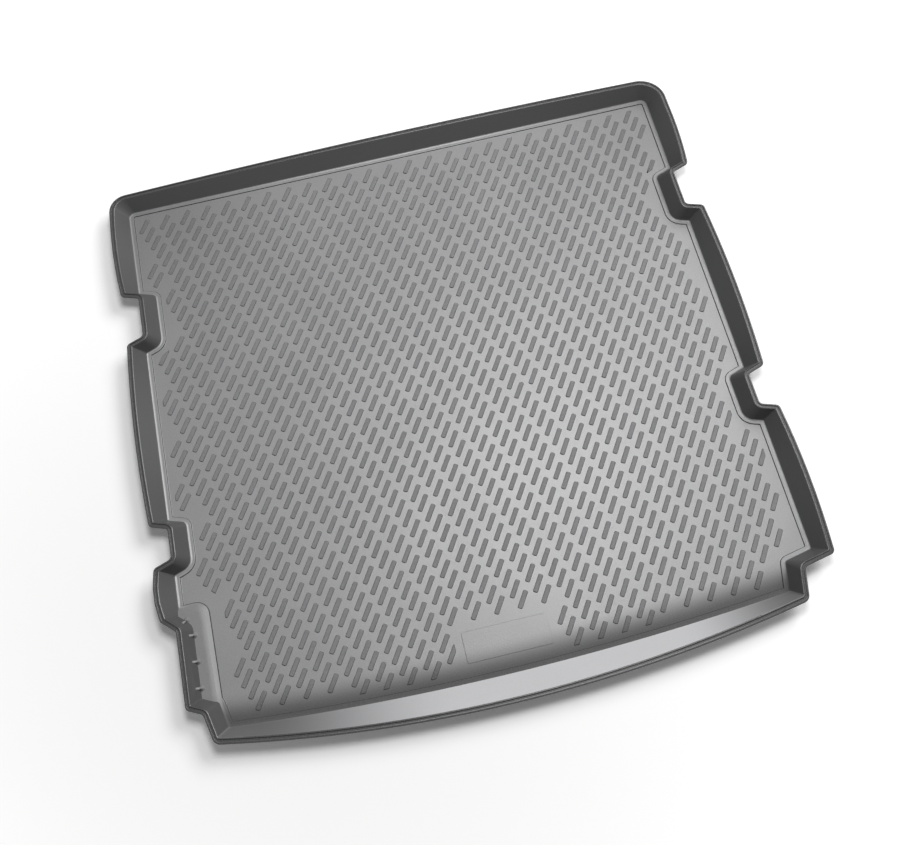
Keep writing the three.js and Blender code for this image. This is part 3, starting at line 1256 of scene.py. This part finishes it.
@dataclass(frozen=True)
class Rubber:
    """A finish of the moulded rubber. Heights are metres, and the grain's scale is per metre."""

    name: str
    tone: float
    roughness: float
    specular: float
    grain_scale: float
    grain_height: float
    mottle: float
    ripple: float
    # How much painted shade, and how much more roughness, the front band and back corners take.
    shade: float = 0.0
    # Painted light added to the tone along the front wall's middle stretch.
    glint: float = 0.0

    def material(self, surface: bpy.types.NodeTree) -> bpy.types.Material:
        """Makes the material of this finish.

        Args:
            surface: the node group that makes the surface's variation.

        Returns:
            The material.
        """
        material = bpy.data.materials.new(self.name)
        material.use_nodes = True
        nodes, links = material.node_tree.nodes, material.node_tree.links
        shader = nodes["Principled BSDF"]
        shader.inputs["Specular IOR Level"].default_value = self.specular
        group = nodes.new("ShaderNodeGroup")
        group.node_tree = surface
        values = (
            self.tone, self.roughness, self.grain_scale, self.grain_height,
            self.mottle, self.ripple, self.shade, self.glint,
        )
        for name, value in zip(RubberSurface.INPUTS, values):
            group.inputs[name].default_value = value
        bump = nodes.new("ShaderNodeBump")
        bump.inputs["Strength"].default_value = 1.0
        bump.inputs["Distance"].default_value = 1.0
        coordinates = nodes.new("ShaderNodeTexCoord")
        links.new(coordinates.outputs["Object"], group.inputs["Position"])
        links.new(group.outputs["Color"], shader.inputs["Base Color"])
        links.new(group.outputs["Roughness"], shader.inputs["Roughness"])
        links.new(group.outputs["Height"], bump.inputs["Height"])
        links.new(bump.outputs["Normal"], shader.inputs["Normal"])
        return material


# The liner is one rubber. Its finishes differ in tone as painted shade and light: darker walls, lip
# and creases, and a paler front wall.
FINISHES = {
    Zone.FLOOR: Rubber(
        "rubber_floor", tone=0.21, roughness=0.35, specular=0.9, grain_scale=620.0,
        grain_height=0.00012, mottle=0.28, ripple=0.0012, shade=1.0,
    ),
    Zone.BAR: Rubber(
        "rubber_bar", tone=0.20, roughness=0.70, specular=0.5, grain_scale=800.0,
        grain_height=0.00040, mottle=0.40, ripple=0.0003, shade=0.6,
    ),
    # Painted shade: the walls are the floor's rubber at a third of its tone.
    Zone.WALL: Rubber(
        "rubber_wall_painted_shade", tone=0.07, roughness=0.42, specular=0.35, grain_scale=400.0,
        grain_height=0.00001, mottle=0.15, ripple=0.0010,
    ),
    # Painted shade: a near-black copy of the rubber in the creases, round each bar's foot, on the
    # ledge's slope and on the platform's low edge.
    Zone.CREASE: Rubber(
        "rubber_crease_painted_shade", tone=0.04, roughness=0.70, specular=0.2, grain_scale=400.0,
        grain_height=0.00001, mottle=0.10, ripple=0.0003,
    ),
    # Painted light: the front wall is paler than the other walls, and its glint adds painted light
    # along its middle stretch.
    Zone.FRONT: Rubber(
        "rubber_front_painted_light", tone=0.12, roughness=0.42, specular=0.6, grain_scale=400.0,
        grain_height=0.00001, mottle=0.10, ripple=0.0006, glint=0.40,
    ),
    # Painted shade: the lip is darker still than the walls.
    Zone.LIP: Rubber(
        "rubber_lip_painted_shade", tone=0.045, roughness=0.28, specular=0.5, grain_scale=400.0,
        grain_height=0.00001, mottle=0.10, ripple=0.0002,
    ),
    Zone.PLATFORM: Rubber(
        "rubber_platform", tone=0.20, roughness=0.45, specular=0.6, grain_scale=620.0,
        grain_height=0.00010, mottle=0.25, ripple=0.0006, shade=0.5,
    ),
}


def new_object(name: str, bm: BMesh) -> bpy.types.Object:
    """Makes an object of a bmesh and links it to the scene.

    Args:
        name: the object's name.
        bm: the bmesh, which is freed.

    Returns:
        The object.
    """
    mesh = bpy.data.meshes.new(name)
    bm.to_mesh(mesh)
    bm.free()
    item = bpy.data.objects.new(name, mesh)
    bpy.context.scene.collection.objects.link(item)
    return item


@dataclass
class Liner:
    """The liner as one object, joined from its bodies."""

    outline: Outline = field(default_factory=Outline)
    section: Section = field(default_factory=Section)
    tread: Tread = field(default_factory=Tread)
    level_normal: float = 0.9995
    sharp_degrees: float = 38.0

    def __post_init__(self) -> None:
        """Sets out the parts of the moulding."""
        self.tray = Tray(self.outline, self.section)
        self.platform = Platform(self.outline, self.section)
        self.plate = Plate(self.outline)

    @staticmethod
    def _cut(target: bpy.types.Object, tool: bpy.types.Object, cut: Cut) -> None:
        """Joins, trims or hollows one body with another and removes the other.

        Args:
            target: the body that stays.
            tool: the body that is used up.
            cut: what the tool does to the target.
        """
        modifier = target.modifiers.new("cut", "BOOLEAN")
        modifier.operation = cut.value
        modifier.solver = "MANIFOLD"
        modifier.object = tool
        graph = bpy.context.evaluated_depsgraph_get()
        done = bpy.data.meshes.new_from_object(target.evaluated_get(graph), depsgraph=graph)
        target.modifiers.clear()
        old = target.data
        target.data = done
        bpy.data.meshes.remove(old)
        bpy.data.objects.remove(tool)

    @staticmethod
    def _zoned(name: str, bm: BMesh, zone: Zone) -> bpy.types.Object:
        """Makes an object that has one zone.

        Args:
            name: the object's name.
            bm: its bmesh, which is freed.
            zone: the zone of all its faces.

        Returns:
            The object.
        """
        for face in bm.faces:
            face.material_index = zone.value
        return new_object(name, bm)

    def _platform(self) -> bpy.types.Object:
        """Makes the platform with its gussets.

        Returns:
            Its object, trimmed by the wall.
        """
        platform = new_object("platform", self.platform.body())
        for bm in self.platform.gussets():
            self._cut(platform, self._zoned("gusset", bm, Zone.FLOOR), Cut.JOIN)
        envelope = self._zoned("envelope", self.platform.envelope(), Zone.FLOOR)
        self._cut(platform, envelope, Cut.TRIM)
        return platform

    def _hollow(self) -> bpy.types.Object:
        """The hollow under the platform, trimmed by the foot of the wall."""
        hollow = self._zoned("hollow", self.platform.hollow(), Zone.WALL)
        self._cut(hollow, self._zoned("foot", self.platform.foot(), Zone.WALL), Cut.TRIM)
        return hollow

    def build(self, surface: bpy.types.NodeTree) -> bpy.types.Object:
        """Builds the liner and places it on its CAD node.

        Args:
            surface: the node group of the rubber.

        Returns:
            The liner's object.
        """
        liner = new_object("liner_body", self.tray.body())
        for zone in Zone:
            liner.data.materials.append(FINISHES[zone].material(surface))
        self._cut(liner, self._platform(), Cut.JOIN)
        bars = self.tray.tread(self.tread, self.plate, self.platform)
        self._cut(liner, new_object("tread", bars), Cut.JOIN)
        self._cut(liner, new_object("plate", self.plate.body(self.section.floor)), Cut.JOIN)
        self._cut(liner, self._hollow(), Cut.HOLLOW)
        self._shade(liner)
        self._place(liner)
        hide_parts("boot_liner")
        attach(liner, "root")
        return liner

    def _shade(self, liner: bpy.types.Object) -> None:
        """Keeps level faces flat and sharp edges sharp, so that only the bends are smooth.

        Args:
            liner: the liner's object.
        """
        bm = bmesh.new()
        bm.from_mesh(liner.data)
        for face in bm.faces:
            face.smooth = abs(face.normal.z) < self.level_normal
        for edge in bm.edges:
            edge.smooth = edge.calc_face_angle(0.0) < math.radians(self.sharp_degrees)
        bm.to_mesh(liner.data)
        bm.free()

    @staticmethod
    def _place(liner: bpy.types.Object) -> None:
        """Moves the mesh to metres and its middle to the middle of the CAD box.

        Args:
            liner: the liner's object.
        """
        liner.data.transform(Matrix.Scale(METRES, 4))
        xs = [vertex.co.x for vertex in liner.data.vertices]
        ys = [vertex.co.y for vertex in liner.data.vertices]
        low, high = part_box("boot_liner")
        middle = (low + high) / 2
        across = middle.x - (min(xs) + max(xs)) / 2
        along = middle.y - (min(ys) + max(ys)) / 2
        liner.data.transform(Matrix.Translation(Vector((across, along, low.z))))
        liner.data.update()


@dataclass(frozen=True)
class Softbox:
    """An oblong lamp that faces the middle of the liner. Lengths are metres, power is watts."""

    name: str
    place: Triple
    width: float
    length: float
    power: float

    def build(self) -> bpy.types.Object:
        """Makes the lamp.

        Returns:
            Its object.
        """
        data = bpy.data.lights.new(self.name, "AREA")
        data.shape = "RECTANGLE"
        data.size = self.width
        data.size_y = self.length
        data.energy = self.power
        lamp = bpy.data.objects.new(self.name, data)
        lamp.location = self.place
        lamp.rotation_euler = (-Vector(self.place)).to_track_quat("-Z", "Y").to_euler()
        bpy.context.scene.collection.objects.link(lamp)
        return lamp


@dataclass(frozen=True)
class Studio:
    """The pale floor, the world, the lamps and the camera, in metres.

    The camera's place and axes come from the lattice of the tread as the photograph shows it.
    """

    lamps: tuple[Softbox, ...] = (
        Softbox("key", (0.42, 0.66, 2.8), width=1.2, length=1.2, power=45.0),
        Softbox("window", (3.64, 2.36, 3.39), width=3.6, length=2.2, power=220.0),
    )
    world_light: float = 0.06
    floor_reach: float = 6.0
    floor_gap: float = 0.0002
    floor_tone: float = 0.97
    floor_roughness: float = 0.9
    glow_fade: tuple[float, float] = (0.4, 2.4)
    glow_near: float = 0.12
    camera_place: Triple = (-0.0506, -0.7999, 1.8915)
    camera_right: Triple = (0.97284, -0.22438, -0.05681)
    camera_down: Triple = (-0.22949, -0.90314, -0.36286)
    camera_forward: Triple = (0.03011, 0.36604, -0.93011)
    lens: float = 44.95
    sensor: float = 36.0

    @staticmethod
    def _seen(tree: bpy.types.NodeTree) -> bpy.types.NodeSocket:
        """One where a camera, glossy or transmission ray looks, else zero."""
        rays = tree.nodes.new("ShaderNodeLightPath").outputs
        seen = math_node(tree, "MAXIMUM", rays["Is Camera Ray"], rays["Is Glossy Ray"])
        return math_node(tree, "MAXIMUM", seen, rays["Is Transmission Ray"])

    def _glow(self, tree: bpy.types.NodeTree) -> bpy.types.NodeSocket:
        """Adds the floor's own glow.

        Args:
            tree: the node tree of the floor's material.

        Returns:
            The glow, weak under the liner's shadow and full in the distance.
        """
        distance = tree.nodes.new("ShaderNodeVectorMath")
        distance.operation = "LENGTH"
        coordinates = tree.nodes.new("ShaderNodeTexCoord")
        tree.links.new(coordinates.outputs["Object"], distance.inputs[0])
        return fade_node(tree, distance.outputs["Value"], *self.glow_fade, self.glow_near)

    def _world(self) -> None:
        """A weak even light that looks white behind the object."""
        world = bpy.data.worlds.new("studio")
        world.use_nodes = True
        tree = world.node_tree
        background = tree.nodes["Background"]
        background.inputs["Color"].default_value = (1, 1, 1, 1)
        level = tree.nodes.new("ShaderNodeMapRange")
        level.inputs["To Min"].default_value = self.world_light
        tree.links.new(self._seen(tree), level.inputs["Value"])
        tree.links.new(level.outputs["Result"], background.inputs["Strength"])
        bpy.context.scene.world = world

    def _floor(self) -> bpy.types.Object:
        """Makes a pale floor that keeps the object's shadow.

        Returns:
            Its object.
        """
        bm = bmesh.new()
        bmesh.ops.create_grid(bm, x_segments=1, y_segments=1, size=self.floor_reach)
        floor = new_object("studio_floor", bm)
        floor.location.z = -self.floor_gap
        material = bpy.data.materials.new("pale_floor")
        material.use_nodes = True
        tree = material.node_tree
        shader = tree.nodes["Principled BSDF"]
        shader.inputs["Base Color"].default_value = (*[self.floor_tone] * 3, 1)
        shader.inputs["Roughness"].default_value = self.floor_roughness
        shader.inputs["Emission Color"].default_value = (1, 1, 1, 1)
        glow = math_node(tree, "MULTIPLY", self._seen(tree), self._glow(tree))
        tree.links.new(glow, shader.inputs["Emission Strength"])
        floor.data.materials.append(material)
        return floor

    def _camera(self) -> None:
        """The camera at the photograph's angle."""
        data = bpy.data.cameras.new("camera")
        data.sensor_fit = "HORIZONTAL"
        data.sensor_width = self.sensor
        data.lens = self.lens
        camera = bpy.data.objects.new("camera", data)
        right, down, forward = map(
            Vector, (self.camera_right, self.camera_down, self.camera_forward)
        )
        turn = Matrix((right, -down, -forward)).transposed()
        camera.matrix_world = Matrix.Translation(Vector(self.camera_place)) @ turn.to_4x4()
        bpy.context.scene.collection.objects.link(camera)
        bpy.context.scene.camera = camera

    def build(self) -> None:
        """Builds the studio."""
        bpy.context.scene.view_settings.view_transform = "Standard"
        self._world()
        floor = self._floor()
        lamps = [lamp.build() for lamp in self.lamps]
        self._camera()


def main() -> None:
    """Builds the liner and its studio, and reports the liner."""
    logging.basicConfig(level=logging.INFO)
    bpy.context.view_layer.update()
    liner = Liner().build(RubberSurface().tree)
    LOG.info("%s: %d faces", liner.name, len(liner.data.polygons))
    Studio().build()


if __name__ == "__main__":
    main()
